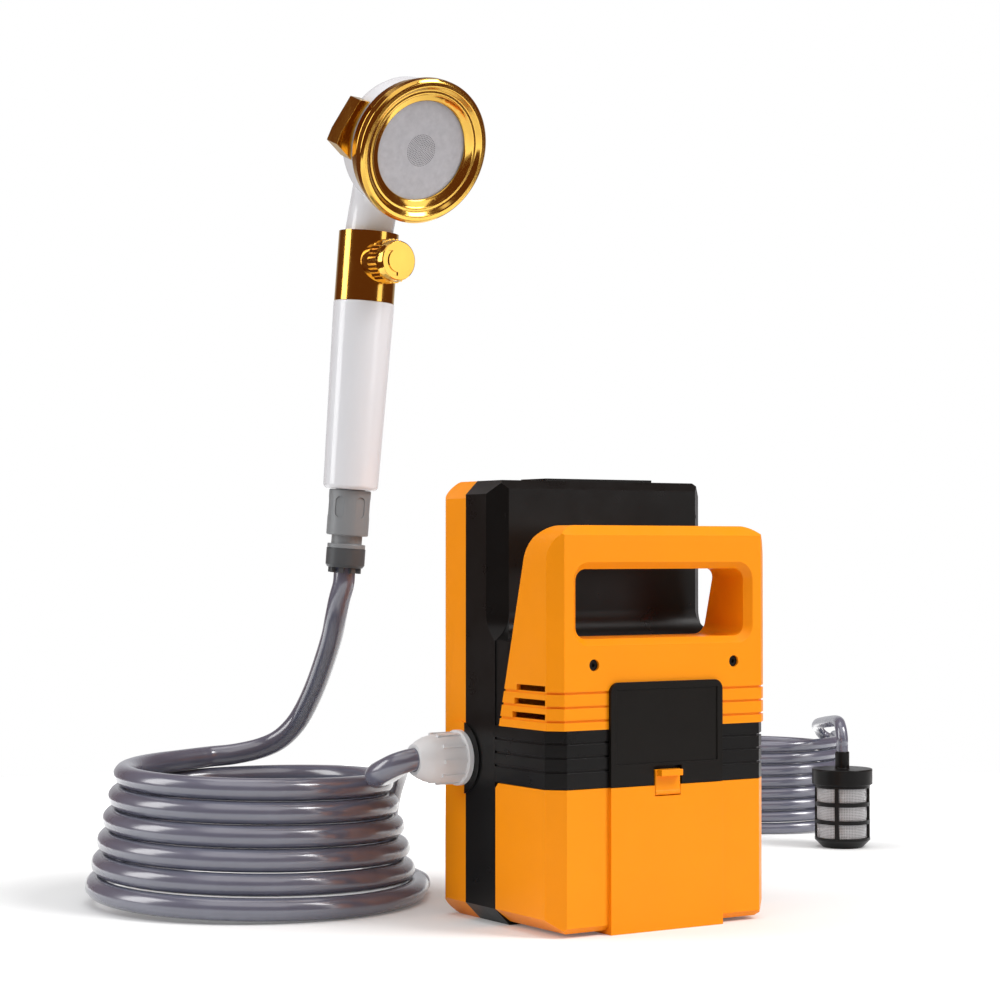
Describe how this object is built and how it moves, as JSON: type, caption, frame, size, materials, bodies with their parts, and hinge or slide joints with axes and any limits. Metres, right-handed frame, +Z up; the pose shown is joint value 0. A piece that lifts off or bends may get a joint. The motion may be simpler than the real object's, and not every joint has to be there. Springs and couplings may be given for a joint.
{
  "type": "portable shower pump kit",
  "caption": "Rechargeable camp shower pump in a carry case with battery drawer, coiled outlet hose, hand shower, coiled intake hose and strainer.",
  "frame": {"origin": "on the floor under the middle of the pump case", "axes": "+X along the front of the case to the viewer's right, front faces -Y, +Z up"},
  "size_m": [0.6258, 0.3913, 0.4492],
  "materials": {
    "orange_plastic": "gloss",
    "black_plastic": "satin",
    "dark_grey_plastic": "satin",
    "grey_plastic": "satin",
    "white_plastic": "gloss",
    "gold_metal": "polished",
    "spray_steel": "brushed",
    "steel": "satin",
    "brass": "satin",
    "smoke_hose": "gloss",
    "rubber": "matte",
    "natural_nylon": "satin",
    "board": "satin",
    "cell_wrap": "satin",
    "red_plastic": "gloss"
  },
  "bodies": {
    "pump": {"rear_cover": "orange_plastic", "centre_frame": "black_plastic", "front_housing": "orange_plastic", "ribbed_band": "black_plastic", "label_panel": "black_plastic", "handle_screws": "black_plastic", "cover_screws": "steel", "battery_contacts": "brass", "drawer_rails": "black_plastic", "control_board": "board", "switch_frame": "black_plastic", "charge_socket": "black_plastic", "pump_bracket": "steel", "pump_head": "black_plastic", "pressure_switch": "grey_plastic", "valve_plate": "natural_nylon", "diaphragm": "rubber", "wobble_plate": "natural_nylon", "crank_case": "black_plastic", "motor_can": "steel", "motor_leads": "red_plastic", "outlet_nipple": "black_plastic", "outlet_nut": "grey_plastic", "intake_nipple": "black_plastic", "intake_nut": "grey_plastic", "clamp_nut": "dark_grey_plastic", "quick_body": "grey_plastic", "socket_seal": "rubber", "outlet_hose_lead": "smoke_hose", "outlet_hose_coil": "smoke_hose", "outlet_hose_riser": "smoke_hose", "intake_hose_lead": "smoke_hose", "intake_hose_coil": "smoke_hose", "intake_hose_loop": "smoke_hose", "strainer_cap": "black_plastic", "strainer_cage": "black_plastic", "strainer_mesh": "spray_steel"},
    "drawer": {"battery_drawer": "orange_plastic", "cell_tray": "black_plastic", "battery_cells": "cell_wrap", "battery_board": "board", "latch_pin": "steel"},
    "latch": {"latch_tab": "orange_plastic"},
    "rocker": {"power_rocker": "red_plastic"},
    "rotor": {"motor_shaft": "steel"},
    "sleeve": {"quick_sleeve": "grey_plastic"},
    "shower": {"handle_plug": "grey_plastic", "shower_handle": "white_plastic", "flow_collar": "gold_metal", "shower_head": "white_plastic", "mode_ring": "gold_metal", "head_rim": "gold_metal", "spray_plate": "spray_steel"},
    "knob": {"flow_knob": "gold_metal", "valve_spindle": "brass"},
    "lever": {"mode_lever": "gold_metal"}
  },
  "joints": [
    {"name": "drawer_slide", "type": "slide", "parent": "pump", "child": "drawer", "axis": [0, -1, 0], "range_m": [0, 0.038]},
    {"name": "latch_hinge", "type": "hinge", "parent": "drawer", "child": "latch", "pos_m": [0, -0.05405, 0.0698], "axis": [1, 0, 0], "range_deg": [0, 12], "stiffness_Nm_per_rad": 0.05},
    {"name": "power_rocker", "type": "hinge", "parent": "pump", "child": "rocker", "pos_m": [0.0689, -0.02802, 0.1279], "axis": [0, 1, 0], "range_deg": [0, 14]},
    {"name": "motor_spin", "type": "hinge", "parent": "pump", "child": "rotor", "pos_m": [0, 0.03375, 0.1], "axis": [0, 0, 1], "continuous": true},
    {"name": "sleeve_slide", "type": "slide", "parent": "pump", "child": "sleeve", "axis": [-0.0523, 0.0523, -0.9973], "range_m": [0, 0.004], "stiffness_N_per_m": 400},
    {"name": "shower_swivel", "type": "hinge", "parent": "pump", "child": "shower", "pos_m": [-0.086, 0.129, 0.18], "axis": [0.0523, -0.0523, 0.9973], "continuous": true},
    {"name": "flow_knob", "type": "hinge", "parent": "shower", "child": "knob", "pos_m": [-0.077, 0.11998, 0.35177], "axis": [0.0669, -0.9962, -0.0558], "range_deg": [0, 90]},
    {"name": "mode_lever", "type": "hinge", "parent": "shower", "child": "lever", "pos_m": [-0.07064, 0.06716, 0.40638], "axis": [0.0475, -0.9313, -0.3612], "range_deg": [-20, 20]}
  ]
}
